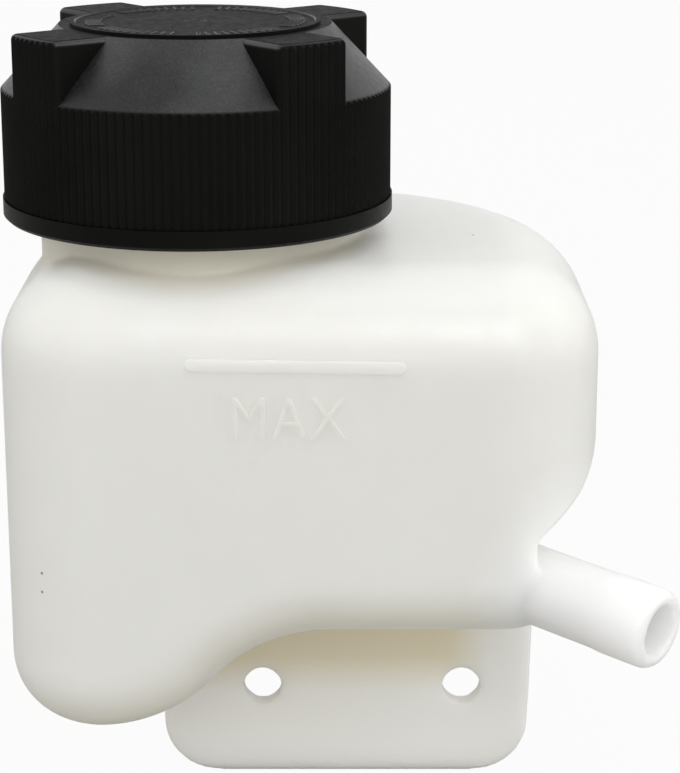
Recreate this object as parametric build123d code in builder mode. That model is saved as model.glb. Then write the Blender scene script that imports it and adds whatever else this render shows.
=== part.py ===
from build123d import *
import math
import os

# Coolant expansion tank: hollow tank with neck and bolt flange, hose spout, screw cap and flat seal.
# Frame: +X right, -Y front, +Z up, origin midway between the bolt holes on the flange's back face.

# Driving sizes, in millimetres
hole_spacing = 38.0
hole_diameter = 7.2
flange_thickness = 4.0
tank_width = 104.2
tank_height = 84.4
front_depth = 38.0
wall = 2.5
neck_diameter = 56.8
neck_height = 21.0
neck_wall = 3.4
cap_height = 33.9
cap_wall = 3.7
spout_diameter = 13.8
spout_bore_diameter = 9.2

# Clearances between the pieces
thread_room = 2.6
seal_side_gap = 0.6
cap_shoulder_gap = 4.4

# Spare reach of cutting tools and of solids that run into each other
cut_margin = 20.0
overlap = 1.0

# Tank outline seen from above and from the front
parting_y = -flange_thickness / 2
tank_centre_x = -11.2
tank_left = tank_centre_x - tank_width / 2
tank_right = tank_centre_x + tank_width / 2
tank_front = parting_y - front_depth
back_offset = 4.0
back_round_y = parting_y + back_offset
front_corner = 17.0
deep_floor = 3.6
tank_top = deep_floor + tank_height
top_round = 16.0
floor_round = 13.0
tank_reach = tank_width + 2 * cut_margin

# Step in the floor between the deep left side and the shallow right side
step_height = 18.4
step_radius = 28.0
step_inset = 16.0
step_start = tank_left + step_inset
step_angle = math.acos(1 - step_height / (2 * step_radius))
step_end = step_start + 2 * step_radius * math.sin(step_angle)
shallow_floor = deep_floor + step_height

# Undercut at the lower right where the spout leaves
undercut_depth = 11.0
undercut_x = tank_right - undercut_depth
undercut_round = 16.5
undercut_run_out = 0.15
undercut_rise = 55.3
undercut_slope = math.radians(41.0)
undercut_centre = (tank_right + undercut_run_out - undercut_round, deep_floor + undercut_rise)

# Neck, seal and cap heights all follow from the tank top
neck_x = -29.8
neck_radius = neck_diameter / 2
neck_bore = neck_radius - neck_wall
neck_lip = tank_top + neck_height
neck_root_round = 1.2
seal_thickness = 2.0
seal_overhang = 0.4
cap_land = neck_lip + seal_thickness
cap_rim = tank_top + cap_shoulder_gap

# Cap
cap_bore = neck_radius + thread_room
cap_radius = cap_bore + cap_wall
cap_top = cap_rim + cap_height
band_height = 3.5
band_rise = 0.3
band_edge = 0.6
band_radius = cap_radius + band_rise
skirt_height = 22.7
skirt_top = cap_rim + skirt_height
cone_run = 10.5
cone_radius = cap_radius - cone_run
rib_count = 136
rib_depth = 0.4
lug_count = 4
lug_width = 14.6
lug_angle = 39.0
lug_corner = 1.5
lug_round = 1.1
lug_run = 10.0
lug_inner = cone_radius - lug_run
lug_root = 6.0
cap_roof = 3.5
core_step = 1.0
cap_core = neck_bore - core_step
disc_step = 2.0
disc_radius = cone_radius - disc_step
disc_rise = 0.5
disc_rim = 0.8
gate_radius = 2.2
gate_taper = 0.7
gate_depth = 0.4

# Spout
spout_radius = spout_diameter / 2
spout_swell = 0.2
spout_land = spout_radius + spout_swell
spout_bore = spout_bore_diameter / 2
spout_turn = math.radians(40.0)
spout_dip = math.radians(4.4)
spout_length = 26.7
spout_foot = 12.0
spout_land_length = 10.0
spout_ramp = 1.5
spout_lip = 1.9
spout_setback = 8.5
spout_rise = 9.4
spout_direction = Vector(math.cos(spout_turn) * math.cos(spout_dip),
                         -math.sin(spout_turn) * math.cos(spout_dip),
                         -math.sin(spout_dip))
spout_side = Vector(math.sin(spout_turn), math.cos(spout_turn), 0)
spout_root = Vector(undercut_x, tank_front + spout_setback, shallow_floor + spout_rise)

# Flange
flange_left_margin = 18.9
flange_right_margin = 12.5
flange_left = -hole_spacing / 2 - flange_left_margin
flange_right = hole_spacing / 2 + flange_right_margin
flange_taper = 1.0
flange_shoulder = 3.0
flange_shoulder_run = 1.4
flange_bottom = -17.6
flange_corner = 10.5

# Level bar on the front face
bar_length = 37.2
bar_height = 2.2
bar_rise = 0.25
bar_drop = 14.6
bar_shift = -0.5
bar_tilt = -0.9
bar_z = tank_top - bar_drop
bar_x = tank_centre_x + bar_shift

os.makedirs("parts", exist_ok=True)


def tank_block(inset):
    """The rounded tank form, drawn inward by the inset for the hollow."""
    left = tank_left + inset
    right = tank_right - inset
    floor_low = deep_floor + inset
    floor_high = shallow_floor + inset
    top = tank_top - inset
    half_width = (right - left) / 2
    with BuildPart() as block:
        with BuildSketch(Plane.XY.offset(deep_floor - cut_margin)) as plan:
            with BuildLine():
                back = CenterArc((tank_centre_x, back_round_y), half_width, 0, 180)
                Polyline(back @ 0, (right, tank_front + inset), (left, tank_front + inset), back @ 1)
            make_face()
            fillet(plan.vertices().group_by(Axis.Y)[0], front_corner - inset)
        extrude(amount=tank_height + 2 * cut_margin)
        with BuildSketch(Plane.XZ):
            with BuildLine():
                low_arc = CenterArc((step_start, deep_floor + step_radius), step_radius - inset,
                                    -90, math.degrees(step_angle))
                high_arc = CenterArc((step_end, shallow_floor - step_radius), step_radius + inset,
                                     90, math.degrees(step_angle))
                Polyline(low_arc @ 0, (-tank_reach, floor_low), (-tank_reach, top), (tank_reach, top),
                         (tank_reach, floor_high), high_arc @ 0)
            make_face()
        extrude(amount=tank_reach, both=True, mode=Mode.INTERSECT)
        fillet(block.edges().group_by(Axis.Z)[-1], top_round - inset)
        floor_edges = []
        for edge in block.edges():
            inside_floor = left + 1 < edge.center().X < right - 1 and edge.bounding_box().size.X < 0.01
            if edge.bounding_box().max.Z < floor_high + 0.01 and not inside_floor:
                floor_edges.append(edge)
        fillet(floor_edges, floor_round - inset)

        # Undercut below the bulge of the right side
        reach = undercut_round - inset
        slope_in = (undercut_centre[0] + reach * math.sin(undercut_slope),
                    undercut_centre[1] - reach * math.cos(undercut_slope))
        wall_x = undercut_x - inset
        slope_foot = (wall_x, slope_in[1] - (slope_in[0] - wall_x) * math.tan(undercut_slope))
        below = deep_floor - cut_margin
        with BuildSketch(Plane.XZ):
            with BuildLine():
                shoulder = CenterArc(undercut_centre, reach, math.degrees(undercut_slope) - 90,
                                     90 - math.degrees(undercut_slope))
                Polyline(shoulder @ 0, slope_foot, (wall_x, below), (tank_reach, below),
                         (tank_reach, undercut_centre[1]), shoulder @ 1)
            make_face()
        extrude(amount=tank_reach, both=True, mode=Mode.SUBTRACT)
    return block.part


# Tank body, one hollow moulding
tank_outer = tank_block(0)
tank_hollow = tank_block(wall)

with BuildPart() as tank_body:
    add(tank_outer)
    with BuildSketch(Plane.XY.offset(tank_top - top_round / 2)):
        with Locations((neck_x, parting_y)):
            Circle(neck_radius)
    extrude(amount=neck_height + top_round / 2)
    fillet(tank_body.edges(Select.NEW), neck_root_round)

    # Bolt flange in the parting plane, run up into the floor
    with BuildSketch(Plane.XZ) as plate:
        with BuildLine():
            Polyline((flange_left, flange_bottom), (flange_right, flange_bottom),
                     (flange_right + flange_taper, shallow_floor - flange_shoulder),
                     (undercut_x - flange_shoulder_run, shallow_floor + overlap),
                     (flange_left, shallow_floor + overlap), close=True)
        make_face()
        fillet(plate.vertices().group_by(Axis.Y)[0], flange_corner)
        with GridLocations(hole_spacing, 0, 2, 1):
            Circle(hole_diameter / 2, mode=Mode.SUBTRACT)
    extrude(amount=flange_thickness)

    # Level bar
    with BuildSketch(Plane.XZ.offset(-tank_front - overlap)):
        with Locations((bar_x, bar_z)):
            SlotOverall(bar_length, bar_height, rotation=bar_tilt)
    extrude(amount=overlap + bar_rise)

    # Hollow, neck bore and the way out to the spout
    add(tank_hollow, mode=Mode.SUBTRACT)
    with BuildSketch(Plane.XY.offset(tank_top - top_round)):
        with Locations((neck_x, parting_y)):
            Circle(neck_bore)
    extrude(amount=neck_height + top_round, mode=Mode.SUBTRACT)
    with BuildSketch(Plane(spout_root - spout_direction * spout_foot, z_dir=spout_direction)):
        Circle(spout_bore)
    extrude(amount=spout_foot + spout_length, mode=Mode.SUBTRACT)

tank_body.part.label = "tank_body"
export_step(tank_body.part, "parts/tank_body.step")

# Hose spout, turned about its own axis and fitted to the tank's outside
with BuildPart() as hose_spout:
    with BuildSketch(Plane(spout_root, x_dir=spout_direction, z_dir=spout_side)):
        with BuildLine():
            lip = CenterArc((spout_length - spout_lip, spout_land - spout_lip), spout_lip, 0, 90)
            Polyline(lip @ 0, (spout_length, spout_bore), (-spout_foot, spout_bore), (-spout_foot, spout_radius),
                     (spout_length - spout_land_length - spout_ramp, spout_radius),
                     (spout_length - spout_land_length, spout_land), lip @ 1)
        make_face()
    revolve(axis=Axis(spout_root, spout_direction))
    add(tank_outer, mode=Mode.SUBTRACT)

hose_spout.part.label = "hose_spout"
export_step(hose_spout.part, "parts/hose_spout.step")

# Screw cap
cap_axis = Axis((neck_x, parting_y, 0), (0, 0, 1))
cap_plane = Plane((neck_x, parting_y, 0), x_dir=(1, 0, 0), z_dir=(0, -1, 0))

with BuildPart() as screw_cap:
    # Grip lugs with rounded corners
    with BuildSketch(Plane.XY.offset(skirt_top - lug_root)) as lugs:
        with Locations((neck_x, parting_y)):
            with PolarLocations((lug_inner + cap_radius + overlap) / 2, lug_count, lug_angle):
                Rectangle(cap_radius + overlap - lug_inner, lug_width)
            Circle(cap_radius, mode=Mode.INTERSECT)
        rim_corners = []
        for corner in lugs.vertices():
            if math.hypot(corner.X - neck_x, corner.Y - parting_y) > cap_radius - overlap:
                rim_corners.append(corner)
        fillet(rim_corners, lug_corner)
    extrude(amount=cap_top - skirt_top + lug_root)
    fillet(screw_cap.edges().group_by(Axis.Z)[-1], lug_round)

    # Skirt and cone
    with BuildSketch(cap_plane):
        with BuildLine():
            Polyline((0, cap_rim + overlap), (cap_radius, cap_rim + overlap), (cap_radius, skirt_top),
                     (cone_radius, cap_top), (0, cap_top), close=True)
        make_face()
    revolve(axis=cap_axis)

    # Ribbed outline all round
    with BuildSketch(Plane.XY.offset(cap_rim)):
        with BuildLine():
            outline = []
            for rib in range(rib_count):
                for turn, radius in ((0, cap_radius), (0.5, cap_radius - rib_depth)):
                    angle = 2 * math.pi * (rib + turn) / rib_count
                    outline.append((neck_x + radius * math.cos(angle), parting_y + radius * math.sin(angle)))
            Polyline(*outline, close=True)
        make_face()
    extrude(amount=cap_height + overlap, mode=Mode.INTERSECT)

    # Plain band at the rim and the raised disc with its rim
    with BuildSketch(cap_plane):
        with BuildLine():
            Polyline((0, cap_rim), (band_radius - band_edge, cap_rim), (band_radius, cap_rim + band_edge),
                     (band_radius, cap_rim + band_height), (0, cap_rim + band_height), close=True)
        make_face()
        with BuildLine():
            disc_floor = cap_top + disc_rise / 2
            Polyline((0, cap_top - overlap), (disc_radius, cap_top - overlap), (disc_radius, cap_top + disc_rise),
                     (disc_radius - disc_rim, cap_top + disc_rise),
                     (disc_radius - disc_rim - disc_rise / 2, disc_floor), (0, disc_floor), close=True)
        make_face()
    revolve(axis=cap_axis)

    # Gate mark in the middle
    with BuildSketch(cap_plane):
        with BuildLine():
            Polyline((0, cap_top - gate_depth), (gate_radius - gate_taper, cap_top - gate_depth),
                     (gate_radius, cap_top + disc_rise), (0, cap_top + disc_rise), close=True)
        make_face()
    revolve(axis=cap_axis, mode=Mode.SUBTRACT)

    # Hollow with the seal land
    with BuildSketch(cap_plane):
        with BuildLine():
            Polyline((0, cap_rim - overlap), (cap_bore, cap_rim - overlap), (cap_bore, cap_land), (cap_core, cap_land),
                     (cap_core, cap_top - cap_roof), (0, cap_top - cap_roof), close=True)
        make_face()
    revolve(axis=cap_axis, mode=Mode.SUBTRACT)

screw_cap.part.label = "screw_cap"
export_step(screw_cap.part, "parts/screw_cap.step")

# Flat seal between the neck lip and the cap land
with BuildPart() as cap_seal:
    with BuildSketch(Plane.XY.offset(neck_lip)):
        with Locations((neck_x, parting_y)):
            Circle(cap_bore - seal_side_gap)
            Circle(neck_bore - seal_overhang, mode=Mode.SUBTRACT)
    extrude(amount=seal_thickness)

cap_seal.part.label = "cap_seal"
export_step(cap_seal.part, "parts/cap_seal.step")
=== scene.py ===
import math
import bmesh
import bpy
import numpy as np
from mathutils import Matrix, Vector


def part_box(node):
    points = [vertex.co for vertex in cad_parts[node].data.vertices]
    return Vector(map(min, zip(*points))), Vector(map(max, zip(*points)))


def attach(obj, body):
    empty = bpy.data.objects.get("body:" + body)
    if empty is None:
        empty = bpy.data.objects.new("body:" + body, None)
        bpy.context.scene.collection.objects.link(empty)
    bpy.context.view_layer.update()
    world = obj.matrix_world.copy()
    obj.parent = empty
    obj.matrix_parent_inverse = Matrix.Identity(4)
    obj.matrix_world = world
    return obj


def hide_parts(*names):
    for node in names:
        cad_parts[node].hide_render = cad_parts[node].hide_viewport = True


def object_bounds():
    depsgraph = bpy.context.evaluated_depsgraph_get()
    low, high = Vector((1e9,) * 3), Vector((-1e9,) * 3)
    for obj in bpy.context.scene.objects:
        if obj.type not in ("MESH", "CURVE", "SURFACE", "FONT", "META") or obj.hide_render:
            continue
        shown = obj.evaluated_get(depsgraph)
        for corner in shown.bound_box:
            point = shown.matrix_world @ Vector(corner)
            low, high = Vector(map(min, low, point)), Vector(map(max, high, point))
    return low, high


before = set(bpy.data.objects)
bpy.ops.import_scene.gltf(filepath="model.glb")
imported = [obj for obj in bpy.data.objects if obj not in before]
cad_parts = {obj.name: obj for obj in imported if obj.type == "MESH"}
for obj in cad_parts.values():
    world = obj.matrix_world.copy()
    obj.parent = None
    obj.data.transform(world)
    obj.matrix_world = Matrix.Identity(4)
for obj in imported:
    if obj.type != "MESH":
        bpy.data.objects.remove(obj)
cad_low, cad_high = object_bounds()
scene = bpy.context.scene
mm = 0.001

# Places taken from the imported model
cap_low, cap_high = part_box("screw_cap")
tank_low, tank_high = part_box("tank_body")
axis_x = (cap_low.x + cap_high.x) / 2
axis_y = (cap_low.y + cap_high.y) / 2
neck_lip = tank_high.z
disc_top = cap_high.z

# Sizes shared with the part's source
tank_front = -40.0 * mm
tank_centre = -11.2 * mm
tank_top = 88.0 * mm
top_round = 16.0 * mm
parting_y = axis_y
neck_radius = 28.4 * mm
cap_radius = 35 * mm
cap_bore = 31.0 * mm
disc_radius = 22.2 * mm
hole_spacing = 38.0 * mm
spout_root = Vector((29.9, -31.5, 31.4)) * mm
spout_mouth = spout_root + Vector((20.4, -17.1, -2.0)) * mm

# Threads on the neck and in the cap
thread_pitch = 5.0 * mm
thread_turns = 1.6
thread_steps_per_turn = 80
thread_runout_rate = 9
thread_start_angle = 0.4
thread_start = neck_lip - 11.5 * mm
thread_root = 0.6 * mm
thread_foot = 1.3 * mm
thread_crest = 0.5 * mm
neck_thread_height = 1.7 * mm
cap_thread_height = 1.6 * mm

# Zones of the tank plastic: a painted glow on the spout, a flange with a whiter tint, and painted shade
# on the flange's root below the tank
spout_glow_radius = 34 * mm
flange_low = Vector((-35, -6, -30)) * mm
flange_high = Vector((40, 0.5, 18)) * mm
flange_fade = 3 * mm
root_shade_low = Vector((-30, -6, 6)) * mm
root_shade_high = Vector((17, 0.5, 18)) * mm
root_shade_fade = 7 * mm

# Dark flecks in the plastic: two low on the left, one on the shoulder
fleck_radius = 0.3 * mm
fleck_spots = (
    Vector((-55.9, -37.0, 35.5)) * mm,
    Vector((-56.0, -37.0, 32.0)) * mm,
    Vector((19.9, -3.2, 88.0)) * mm,
)

# Level bar and the word below it
bar_length = 37.2 * mm
bar_height = 2.2 * mm
bar_rise = 0.25 * mm
bar_depth = 1.2 * mm
bar_ease = 0.1 * mm
bar_middle = (tank_centre - 0.5 * mm, 73.4 * mm)
bar_tilt = math.radians(-0.9)
word_width = 19.2 * mm
word_low = 60.8 * mm
word_high = 68.1 * mm
word_x = tank_centre - 1.6 * mm
word_depth = 1.0 * mm
word_rise = 0.26 * mm
word_weld = 0.002 * mm

# Soft skin: grain, creases and the mould's parting line
voxel = 0.55 * mm
skin_triangles = 180000
crease_angle = math.radians(35)
line_rise = 0.03 * mm
line_width = 0.5 * mm

# Blends in the skin's hollow corners: wide on the flange, tight at the spout, none above blend_end
blend_rounds = 110
blend_radius = 3.2 * mm
blend_fade = 46 * mm
blend_end = 56 * mm
spout_blend_radius = 0.9 * mm
spout_blend_reach = 13 * mm
wide_blend_start = 20 * mm

# Smoothing of the whole skin, weaker round the bolt holes
smooth_rounds = 4
smooth_near_hole = 5 * mm
smooth_past_hole = 8 * mm

# Raised ticks on the cap's disc, left out in pairs to make gaps
tick_count = 72
ticks_to_gap = 12
gap_ticks = (5, 6)
tick_inner = disc_radius - 5.6 * mm
tick_outer = disc_radius - 2.6 * mm
tick_floor = disc_top - 0.35 * mm
tick_crown = disc_top - 0.02 * mm
tick_half_width = 0.42 * mm
tick_ease = 0.18 * mm


# Mesh helpers
def mesh_piece(name, points, faces):
    """A new mesh object from points and faces."""
    mesh = bpy.data.meshes.new(name)
    mesh.from_pydata(points, [], faces)
    mesh.update()
    piece = bpy.data.objects.new(name, mesh)
    scene.collection.objects.link(piece)
    return piece


def drop(piece):
    """Removes a helper object together with its mesh or curve."""
    data = piece.data
    bpy.data.objects.remove(piece)
    if isinstance(data, bpy.types.Mesh):
        bpy.data.meshes.remove(data)
    else:
        bpy.data.curves.remove(data)


def evaluated_mesh(piece):
    """The piece's mesh with its modifiers applied."""
    graph = bpy.context.evaluated_depsgraph_get()
    return bpy.data.meshes.new_from_object(piece.evaluated_get(graph))


def turn_outward(mesh, weld_distance=0.0):
    """Turns all faces of a closed mesh outward, after welding its vertices where a distance is given."""
    cleaner = bmesh.new()
    cleaner.from_mesh(mesh)
    if weld_distance > 0:
        bmesh.ops.remove_doubles(cleaner, verts=cleaner.verts, dist=weld_distance)
    bmesh.ops.recalc_face_normals(cleaner, faces=cleaner.faces)
    cleaner.to_mesh(mesh)
    cleaner.free()


def vertex_array(mesh, source, key):
    """Three numbers per vertex as an array."""
    values = np.empty(len(mesh.vertices) * 3, np.float32)
    source.foreach_get(key, values)
    return values.reshape(-1, 3).astype(np.float64)


def move_vertices(mesh, points):
    """Puts the vertices at these points."""
    mesh.vertices.foreach_set("co", points.astype(np.float32).ravel())
    mesh.update()


def smooth_step(low, high, value):
    """Zero below low, one above high, and smooth between."""
    share = np.clip((value - low) / (high - low), 0, 1)
    return share * share * (3 - 2 * share)


# Threads, level word and level bar as closed solids
def thread_ridge(name, wall_radius, height, low_z, outward):
    """One closed thread ridge on a round wall, running out into the wall at both ends."""
    steps = int(thread_turns * thread_steps_per_turn)
    side = 1 if outward else -1
    points = []
    for step in range(steps + 1):
        share = step / steps
        fade = min(1, thread_runout_rate * share, thread_runout_rate * (1 - share))
        angle = thread_start_angle + thread_turns * 2 * math.pi * share
        middle = low_z + thread_turns * thread_pitch * share
        section = (
            (-thread_root, -thread_foot),
            (height * fade, -thread_crest),
            (height * fade, thread_crest),
            (-thread_root, thread_foot),
        )
        for reach, lift in section:
            radius = wall_radius + side * reach
            x = axis_x + radius * math.cos(angle)
            y = axis_y + radius * math.sin(angle)
            points.append((x, y, middle + lift))
    faces = []
    for step in range(steps):
        for corner in range(4):
            near = step * 4 + corner
            next_corner = step * 4 + (corner + 1) % 4
            faces.append((near, near + 4, next_corner + 4, next_corner))
    faces.append((0, 1, 2, 3))
    last = steps * 4
    faces.append((last + 3, last + 2, last + 1, last))
    piece = mesh_piece(name, points, faces)
    turn_outward(piece.data)
    return piece


def level_word():
    """The level word as a solid, let into the front wall."""
    curve = bpy.data.curves.new("level_word", "FONT")
    curve.body = "MAX"
    curve.extrude = 1.0
    curve.offset = -0.004
    curve.space_character = 1.12
    text = bpy.data.objects.new("level_word", curve)
    scene.collection.objects.link(text)
    bpy.context.view_layer.update()
    mesh = evaluated_mesh(text)
    drop(text)
    points = vertex_array(mesh, mesh.vertices, "co")
    low = points.min(axis=0)
    share = (points - low) / (points.max(axis=0) - low)
    placed = np.empty_like(points)
    placed[:, 0] = word_x + (share[:, 0] - 0.5) * word_width
    placed[:, 1] = tank_front + word_depth - share[:, 2] * (word_depth + word_rise)
    placed[:, 2] = word_low + share[:, 1] * (word_high - word_low)
    move_vertices(mesh, placed)
    piece = bpy.data.objects.new("level_word", mesh)
    scene.collection.objects.link(piece)
    turn_outward(mesh, word_weld)
    return piece


def level_bar():
    """The level bar as a solid with eased edges, let into the front wall."""
    round_radius = bar_height / 2
    half = bar_length / 2 - round_radius
    outline = []
    for side in (1, -1):
        for step in range(13):
            angle = math.pi * (step / 12 - 0.5)
            along = side * (half + math.cos(angle) * round_radius)
            outline.append((along, side * math.sin(angle) * round_radius))
    points = []
    layers = ((bar_depth, 0.0), (bar_ease - bar_rise, 0.0), (-bar_rise, bar_ease))
    for depth, inward in layers:
        for along, across in outline:
            reach = max(abs(across) - inward, 0) * (1 if across > 0 else -1)
            run = along - math.copysign(inward, along)
            points.append((bar_middle[0] + run * math.cos(bar_tilt) - reach * math.sin(bar_tilt),
                           tank_front + depth,
                           bar_middle[1] + run * math.sin(bar_tilt) + reach * math.cos(bar_tilt)))
    count = len(outline)
    faces = [tuple(range(count)), tuple(range(3 * count - 1, 2 * count - 1, -1))]
    for layer in range(2):
        for corner in range(count):
            near = layer * count + corner
            after = layer * count + (corner + 1) % count
            faces.append((near, near + count, after + count, after))
    piece = mesh_piece("level_bar", points, faces)
    turn_outward(piece.data)
    return piece


# Tank skin: the moulded form with soft blends, parting line, neck thread, level bar and word
def relax(mesh, rounds, weight, hollow_limit=None):
    """Draws each vertex towards its neighbours. With a limit, only tighter hollow corners are filled."""
    count = len(mesh.vertices)
    ends = np.empty(len(mesh.edges) * 2, np.int64)
    mesh.edges.foreach_get("vertices", ends)
    first, second = ends.reshape(-1, 2).T
    share = 1.0 / (np.bincount(first, minlength=count) + np.bincount(second, minlength=count))
    points = vertex_array(mesh, mesh.vertices, "co")
    for _ in range(rounds):
        middle = np.empty_like(points)
        for axis in range(3):
            column = points[:, axis]
            middle[:, axis] = np.bincount(first, column[second], count)
            middle[:, axis] += np.bincount(second, column[first], count)
        pull = middle * share[:, None] - points
        if hollow_limit is not None:
            move_vertices(mesh, points)
            normals = vertex_array(mesh, mesh.vertex_normals, "vector")
            outward = np.maximum((pull * normals).sum(axis=1) - hollow_limit, 0)
            pull = normals * outward[:, None]
        points += weight[:, None] * pull
    move_vertices(mesh, points)


def front_surface(height):
    """Depth of the plain front at each height, round the top edge as well."""
    above = np.clip(height - (tank_top - top_round), 0, top_round)
    return tank_front + top_round - np.sqrt(top_round ** 2 - above ** 2)


def shape_skin(mesh):
    """Takes the coarse bar off, fills the hollow corners and raises the parting line."""
    points = vertex_array(mesh, mesh.vertices, "co")
    plain = front_surface(points[:, 2])
    on_bar = (points[:, 1] < plain) & (np.abs(points[:, 2] - bar_middle[1]) < bar_height)
    points[on_bar, 1] = plain[on_bar]
    move_vertices(mesh, points)
    low_part = 1 - smooth_step(blend_fade, blend_end, points[:, 2])
    from_spout = np.linalg.norm(points - np.array(spout_root), axis=1)
    wider = smooth_step(spout_blend_reach, wide_blend_start, from_spout)
    radius = spout_blend_radius + (blend_radius - spout_blend_radius) * wider
    relax(mesh, blend_rounds, 0.6 * low_part, voxel * voxel / (4 * radius))
    from_hole = np.hypot(np.abs(points[:, 0]) - hole_spacing / 2, points[:, 2])
    away_from_hole = smooth_step(smooth_near_hole, smooth_past_hole, from_hole)
    relax(mesh, smooth_rounds, 0.1 + 0.4 * away_from_hole)
    points = vertex_array(mesh, mesh.vertices, "co")
    normals = vertex_array(mesh, mesh.vertex_normals, "vector")
    line = line_rise * np.exp(-((points[:, 1] - parting_y) / line_width) ** 2)
    points += normals * line[:, None]
    move_vertices(mesh, points)


def swallow(piece, other):
    """Joins another closed solid to the piece and drops it."""
    union = piece.modifiers.new("union", "BOOLEAN")
    union.operation = "UNION"
    union.solver = "MANIFOLD"
    union.object = other
    before = piece.data
    after = evaluated_mesh(piece)
    piece.modifiers.remove(union)
    piece.data = after
    bpy.data.meshes.remove(before)
    drop(other)


def make_tank_skin():
    """Tank, spout and neck thread as one skin, with the word and the bar joined to it."""
    thread = thread_ridge("neck_thread", neck_radius, neck_thread_height, thread_start, True)
    joined = bmesh.new()
    joined.from_mesh(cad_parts["tank_body"].data)
    joined.from_mesh(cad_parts["hose_spout"].data)
    joined.from_mesh(thread.data)
    drop(thread)
    bmesh.ops.triangulate(joined, faces=joined.faces)
    mesh = bpy.data.meshes.new("tank_skin")
    joined.to_mesh(mesh)
    joined.free()
    piece = bpy.data.objects.new("tank_skin", mesh)
    scene.collection.objects.link(piece)
    remesh = piece.modifiers.new("soft", "REMESH")
    remesh.mode = "VOXEL"
    remesh.voxel_size = voxel
    fine = evaluated_mesh(piece)
    piece.modifiers.remove(remesh)
    shape_skin(fine)
    piece.data = fine
    bpy.data.meshes.remove(mesh)
    fewer = piece.modifiers.new("fewer", "DECIMATE")
    fewer.ratio = min(1.0, skin_triangles / (2 * len(fine.polygons)))
    final = evaluated_mesh(piece)
    piece.modifiers.remove(fewer)
    piece.data = final
    bpy.data.meshes.remove(fine)
    swallow(piece, level_word())
    swallow(piece, level_bar())
    piece.data.name = "tank_skin"
    piece.data.shade_smooth()
    piece.data.set_sharp_from_angle(angle=crease_angle)
    return piece


tank_skin = make_tank_skin()
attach(tank_skin, "tank")
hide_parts("tank_body", "hose_spout")

# Thread inside the cap, half a pitch from the neck's thread
cap_thread_start = thread_start - 0.5 * thread_pitch
cap_thread = thread_ridge("cap_thread", cap_bore, cap_thread_height, cap_thread_start, False)
cap_thread.data.shade_smooth()
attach(cap_thread, "cap")


# Ring of plain raised ticks on the cap's disc
def make_cap_marks():
    points = []
    faces = []
    for mark in range(tick_count):
        if mark % ticks_to_gap in gap_ticks:
            continue
        angle = 2 * math.pi * mark / tick_count
        along = Vector((math.cos(angle), math.sin(angle), 0))
        across = Vector((-math.sin(angle), math.cos(angle), 0))
        start = len(points)
        for height, ease in ((tick_floor, 0.0), (tick_crown, tick_ease)):
            centre = Vector((axis_x, axis_y, height))
            aside = across * (tick_half_width - ease)
            near = along * (tick_inner + ease)
            far = along * (tick_outer - ease)
            points.extend((centre + near - aside, centre + far - aside))
            points.extend((centre + far + aside, centre + near + aside))
        faces.append((start, start + 3, start + 2, start + 1))
        faces.append((start + 4, start + 5, start + 6, start + 7))
        for corner in range(4):
            after = (corner + 1) % 4
            faces.append((start + corner, start + after, start + 4 + after, start + 4 + corner))
    return mesh_piece("cap_marks", points, faces)


cap_marks = make_cap_marks()
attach(cap_marks, "cap")


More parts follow.
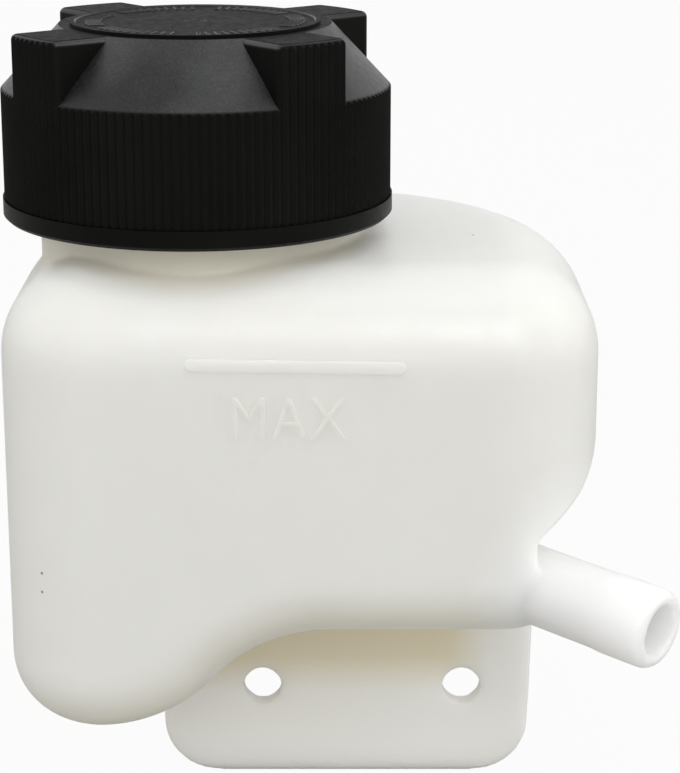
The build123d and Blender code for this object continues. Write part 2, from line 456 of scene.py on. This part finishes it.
# Material helpers
class Recipe:
    """A node material with one principled shader, read in the part's own coordinates."""

    def __init__(self, name):
        self.material = bpy.data.materials.new(name)
        self.material.use_nodes = True
        self.tree = self.material.node_tree
        self.tree.nodes.clear()
        output = self.tree.nodes.new("ShaderNodeOutputMaterial")
        self.shader = self.tree.nodes.new("ShaderNodeBsdfPrincipled")
        self.tree.links.new(self.shader.outputs["BSDF"], output.inputs["Surface"])
        self.place = self.tree.nodes.new("ShaderNodeTexCoord").outputs["Object"]

    def along(self, vector, axis):
        """One coordinate of a vector."""
        node = self.tree.nodes.new("ShaderNodeSeparateXYZ")
        self.tree.links.new(vector, node.inputs["Vector"])
        return node.outputs[axis]

    def facing_up(self):
        """One on level tops, zero on upright walls."""
        return self.along(self.tree.nodes.new("ShaderNodeNewGeometry").outputs["Normal"], "Z")

    def from_axis(self):
        """Distance from the upright axis of neck and cap."""
        position = self.tree.nodes.new("ShaderNodeNewGeometry").outputs["Position"]
        aside = self.maths("SUBTRACT", self.along(position, "X"), axis_x)
        ahead = self.maths("SUBTRACT", self.along(position, "Y"), axis_y)
        aside_squared = self.maths("MULTIPLY", aside, aside)
        ahead_squared = self.maths("MULTIPLY", ahead, ahead)
        return self.maths("POWER", self.maths("ADD", aside_squared, ahead_squared), 0.5)

    def noise(self, scale, detail=3.0):
        """Noise of this scale per metre."""
        node = self.tree.nodes.new("ShaderNodeTexNoise")
        node.inputs["Scale"].default_value = scale
        node.inputs["Detail"].default_value = detail
        self.tree.links.new(self.place, node.inputs["Vector"])
        return node.outputs["Fac"]

    def spread(self, value, low, high, out_low, out_high):
        """The value taken from one range to another."""
        node = self.tree.nodes.new("ShaderNodeMapRange")
        self.tree.links.new(value, node.inputs["Value"])
        limits = (("From Min", low), ("From Max", high), ("To Min", out_low), ("To Max", out_high))
        for key, number in limits:
            node.inputs[key].default_value = number
        return node.outputs["Result"]

    def maths(self, kind, first, second):
        """Two values put together."""
        node = self.tree.nodes.new("ShaderNodeMath")
        node.operation = kind
        for socket, value in zip(node.inputs, (first, second)):
            if isinstance(value, (int, float)):
                socket.default_value = value
            else:
                self.tree.links.new(value, socket)
        return node.outputs["Value"]

    def mixed(self, share, first, second):
        """Two colours mixed by a share."""
        node = self.tree.nodes.new("ShaderNodeMix")
        node.data_type = "RGBA"
        self.tree.links.new(share, node.inputs[0])
        for socket, value in ((node.inputs[6], first), (node.inputs[7], second)):
            if isinstance(value, tuple):
                socket.default_value = (*value, 1.0)
            else:
                self.tree.links.new(value, socket)
        return node.outputs[2]

    def within(self, spot, radius, core=0.5):
        """One round a spot, fading out to zero at the radius."""
        node = self.tree.nodes.new("ShaderNodeVectorMath")
        node.operation = "DISTANCE"
        self.tree.links.new(self.place, node.inputs[0])
        node.inputs[1].default_value = spot
        return self.spread(node.outputs["Value"], core * radius, radius, 1.0, 0.0)

    def inside(self, low, high, soft):
        """One in the box between two corners, fading out over a soft margin."""
        share = 1.0
        for axis, start, end in zip("XYZ", low, high):
            value = self.along(self.place, axis)
            share = self.maths("MULTIPLY", share, self.spread(value, start - soft, start, 0.0, 1.0))
            share = self.maths("MULTIPLY", share, self.spread(value, end, end + soft, 1.0, 0.0))
        return share

    def bump(self, height, strength, distance, under=None):
        """A fine relief, laid over another where one is given."""
        node = self.tree.nodes.new("ShaderNodeBump")
        node.inputs["Strength"].default_value = strength
        node.inputs["Distance"].default_value = distance
        self.tree.links.new(height, node.inputs["Height"])
        if under is not None:
            self.tree.links.new(under, node.inputs["Normal"])
        return node.outputs["Normal"]

    def put(self, socket, value):
        """Gives the shader a value or a linked result."""
        if isinstance(value, bpy.types.NodeSocket):
            self.tree.links.new(value, self.shader.inputs[socket])
        else:
            self.shader.inputs[socket].default_value = value


# Milky tank plastic: cloudy, with painted shade in yellow at the neck, on lower edges and at the flange
# root, and a painted glow on the spout
def make_tank_plastic():
    milky_dull = (0.875, 0.862, 0.795)
    milky_clear = (0.895, 0.886, 0.83)
    neck_shade_yellow = (0.83, 0.785, 0.66)
    underside_tint_yellow = (0.92, 0.875, 0.73)
    flange_white = (0.86, 0.855, 0.83)
    root_shade_yellow = (0.79, 0.735, 0.60)
    spout_glow_white = (0.992, 0.99, 0.978)
    fleck_brown = (0.10, 0.08, 0.05)
    scatter_depth = 6 * mm
    recipe = Recipe("tank_plastic")
    cloud = recipe.spread(recipe.noise(38.0, 4.0), 0.35, 0.68, 0.0, 1.0)
    tint = recipe.mixed(cloud, milky_dull, milky_clear)
    height = recipe.along(recipe.place, "Z")
    # Painted shade: darker and yellow on the neck and shoulder close under the cap's rim
    near_neck = recipe.spread(recipe.from_axis(), neck_radius + 1 * mm, neck_radius + 5 * mm, 1.0, 0.0)
    high_up = recipe.spread(height, tank_top - 8 * mm, tank_top - 4 * mm, 0.0, 1.0)
    tint = recipe.mixed(recipe.maths("MULTIPLY", near_neck, high_up), tint, neck_shade_yellow)
    # Painted shade tint: down-facing surfaces are made yellower and a little lighter, as the shade under
    # the tank looks
    facing_down = recipe.spread(recipe.facing_up(), -0.7, -0.05, 1.0, 0.0)
    tint = recipe.mixed(facing_down, tint, underside_tint_yellow)
    tint = recipe.mixed(recipe.inside(flange_low, flange_high, flange_fade), tint, flange_white)
    # Painted shade: darker yellow-brown on the flange just below the tank's belly, where the belly's
    # shadow falls
    tint = recipe.mixed(recipe.inside(root_shade_low, root_shade_high, root_shade_fade), tint, root_shade_yellow)
    # Painted light: the spout is mixed towards near-white round its mouth, a glow as if lit through
    spout_glow_share = recipe.within(spout_mouth, spout_glow_radius, 0.6)
    tint = recipe.mixed(spout_glow_share, tint, spout_glow_white)
    fleck = recipe.within(fleck_spots[0], fleck_radius)
    for spot in fleck_spots[1:]:
        fleck = recipe.maths("MAXIMUM", fleck, recipe.within(spot, fleck_radius))
    recipe.put("Base Color", recipe.mixed(fleck, tint, fleck_brown))
    recipe.put("Roughness", recipe.spread(recipe.noise(160.0), 0.3, 0.7, 0.28, 0.38))
    recipe.put("Subsurface Weight", 1.0)
    recipe.put("Subsurface Radius", (1.0, 1.0, 1.0))
    recipe.put("Subsurface Scale", scatter_depth)
    recipe.put("Specular IOR Level", 0.45)
    waves = recipe.bump(recipe.noise(55.0, 2.0), 0.25, 0.6 * mm)
    recipe.put("Normal", recipe.bump(recipe.noise(900.0, 2.0), 0.18, 0.08 * mm, waves))
    return recipe.material


# Black cap plastic: worn slopes shine and carry dust and a painted sheen, upright ribs and level tops
# stay dull
def make_cap_plastic():
    bare_dark = (0.0022, 0.0022, 0.0019)
    bare_light = (0.0034, 0.0034, 0.0030)
    dust_and_sheen_grey = (0.024, 0.025, 0.029)
    plain_shine = 0.09
    recipe = Recipe("cap_plastic")
    cloud = recipe.spread(recipe.noise(90.0, 4.0), 0.35, 0.65, 0.0, 1.0)
    bare = recipe.mixed(cloud, bare_dark, bare_light)
    rise = recipe.facing_up()
    sloped = recipe.spread(rise, 0.2, 0.45, 0.0, 1.0)
    level = recipe.spread(rise, 0.82, 0.95, 0.0, 1.0)
    rib_edge = cap_radius - 0.6 * mm
    inside_ribs = recipe.spread(recipe.from_axis(), rib_edge - 0.35 * mm, rib_edge, 1.0, 0.0)
    wear_and_sheen_patches = recipe.spread(recipe.noise(42.0, 3.0), 0.36, 0.64, 0.5, 1.0)
    slope = recipe.maths("MULTIPLY", recipe.maths("SUBTRACT", sloped, level), inside_ribs)
    slope = recipe.maths("MULTIPLY", slope, wear_and_sheen_patches)
    grains = recipe.spread(recipe.noise(2600.0, 2.0), 0.42, 0.72, 0.1, 1.0)
    # Dust and painted sheen: up-facing slopes are made lighter grey in patches, partly dust and partly
    # the sheen of light from above
    dust_and_sheen = recipe.maths("MULTIPLY", slope, grains)
    recipe.put("Base Color", recipe.mixed(dust_and_sheen, bare, dust_and_sheen_grey))
    recipe.put("Roughness", recipe.spread(recipe.noise(700.0), 0.3, 0.7, 0.32, 0.42))
    slope_shine = recipe.maths("MULTIPLY", slope, 0.66)
    level_shine = recipe.maths("MULTIPLY", level, -0.082)
    shine = recipe.maths("ADD", slope_shine, level_shine)
    recipe.put("Specular IOR Level", recipe.maths("ADD", shine, plain_shine))
    recipe.put("Normal", recipe.bump(recipe.noise(4200.0, 2.0), 0.6, 0.07 * mm))
    return recipe.material


# Seal rubber
def make_seal_rubber():
    recipe = Recipe("seal_rubber")
    cloud = recipe.spread(recipe.noise(220.0, 4.0), 0.35, 0.65, 0.0, 1.0)
    recipe.put("Base Color", recipe.mixed(cloud, (0.012, 0.012, 0.012), (0.022, 0.021, 0.020)))
    recipe.put("Roughness", recipe.spread(recipe.noise(500.0), 0.3, 0.7, 0.6, 0.8))
    recipe.put("Normal", recipe.bump(recipe.noise(900.0, 2.0), 0.3, 0.06 * mm))
    return recipe.material


def paint(piece, material):
    """One material on the whole piece."""
    piece.data.materials.clear()
    piece.data.materials.append(material)


tank_plastic = make_tank_plastic()
cap_plastic = make_cap_plastic()
paint(tank_skin, tank_plastic)
paint(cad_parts["screw_cap"], cap_plastic)
paint(cap_thread, cap_plastic)
paint(cap_marks, cap_plastic)
paint(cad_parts["cap_seal"], make_seal_rubber())


# Floor that stays white in the picture and keeps a faint shadow
def make_floor():
    half = 3.0
    level = cad_low.z - 0.2 * mm
    glow_share = 0.95
    corners = [(-half, -half, level), (half, -half, level), (half, half, level), (-half, half, level)]
    floor = mesh_piece("studio_floor", corners, [(0, 1, 2, 3)])
    material = bpy.data.materials.new("studio_floor")
    material.use_nodes = True
    tree = material.node_tree
    tree.nodes.clear()
    output = tree.nodes.new("ShaderNodeOutputMaterial")
    matt = tree.nodes.new("ShaderNodeBsdfDiffuse")
    matt.inputs["Color"].default_value = (0.46, 0.455, 0.435, 1)
    glow = tree.nodes.new("ShaderNodeEmission")
    glow.inputs["Strength"].default_value = 1.0
    rays = tree.nodes.new("ShaderNodeLightPath")
    share = tree.nodes.new("ShaderNodeMath")
    share.operation = "MULTIPLY"
    share.inputs[1].default_value = glow_share
    mix = tree.nodes.new("ShaderNodeMixShader")
    tree.links.new(rays.outputs["Is Camera Ray"], share.inputs[0])
    tree.links.new(share.outputs["Value"], mix.inputs[0])
    tree.links.new(matt.outputs["BSDF"], mix.inputs[1])
    tree.links.new(glow.outputs["Emission"], mix.inputs[2])
    tree.links.new(mix.outputs["Shader"], output.inputs["Surface"])
    floor.data.materials.append(material)


make_floor()


# Soft studio light: white surroundings as in a light tent, with a weak panel on each side
def make_world():
    world = bpy.data.worlds.new("studio")
    scene.world = world
    world.use_nodes = True
    tree = world.node_tree
    tree.nodes.clear()
    output = tree.nodes.new("ShaderNodeOutputWorld")
    room = tree.nodes.new("ShaderNodeBackground")
    room.inputs["Color"].default_value = (1.0, 1.0, 1.0, 1)
    room.inputs["Strength"].default_value = 0.80
    white = tree.nodes.new("ShaderNodeBackground")
    white.inputs["Strength"].default_value = 1.0
    white.inputs["Color"].default_value = (1.0, 1.0, 1.0, 1)
    rays = tree.nodes.new("ShaderNodeLightPath")
    mix = tree.nodes.new("ShaderNodeMixShader")
    tree.links.new(rays.outputs["Is Camera Ray"], mix.inputs[0])
    tree.links.new(room.outputs["Background"], mix.inputs[1])
    tree.links.new(white.outputs["Background"], mix.inputs[2])
    tree.links.new(mix.outputs["Shader"], output.inputs["Surface"])


def add_panel(name, azimuth, elevation, distance, size, power, colour):
    """A soft square light, placed round the part. Azimuth 0 is the front and 90 the spout's side."""
    lamp = bpy.data.lights.new(name, "AREA")
    lamp.shape = "SQUARE"
    lamp.size = size
    lamp.energy = power
    lamp.color = colour
    holder = bpy.data.objects.new(name, lamp)
    scene.collection.objects.link(holder)
    turn = math.radians(azimuth)
    rise = math.radians(elevation)
    flat = math.cos(rise)
    away = Vector((math.sin(turn) * flat, -math.cos(turn) * flat, math.sin(rise)))
    holder.location = (cad_low + cad_high) / 2 + away * distance
    holder.rotation_mode = "QUATERNION"
    holder.rotation_quaternion = (-away).to_track_quat("-Z", "Y")


make_world()
white = (1.0, 1.0, 1.0)
cool_white = (0.94, 0.96, 1.0)
warm_white = (1.0, 0.99, 0.98)
add_panel("light_key", azimuth=12, elevation=38, distance=0.9, size=0.4, power=2.2, colour=white)
add_panel("light_above", azimuth=30, elevation=76, distance=0.8, size=0.3, power=0.3, colour=cool_white)
add_panel("light_behind", azimuth=180, elevation=62, distance=1.1, size=0.7, power=0.2, colour=white)
add_panel("light_right", azimuth=80, elevation=30, distance=1.0, size=0.8, power=1.9, colour=white)
add_panel("light_left", azimuth=-80, elevation=30, distance=1.0, size=0.8, power=1.2, colour=white)
add_panel("light_front", azimuth=0, elevation=12, distance=1.2, size=0.6, power=0.5, colour=warm_white)


# Camera at the photograph's viewing angle
def make_camera():
    focal_pixels = 2300
    image_height = 773
    place = Vector((-4.2, -411.2, 177.2)) * mm
    pitch_down = 16.1
    lens = bpy.data.cameras.new("camera")
    lens.sensor_width = 36.0
    lens.lens = focal_pixels * lens.sensor_width / image_height
    lens.clip_start = 0.01
    lens.clip_end = 20.0
    camera = bpy.data.objects.new("camera", lens)
    scene.collection.objects.link(camera)
    camera.location = place
    camera.rotation_euler = (math.radians(90 - pitch_down), 0, 0)
    scene.camera = camera


make_camera()
scene.view_settings.view_transform = "Standard"
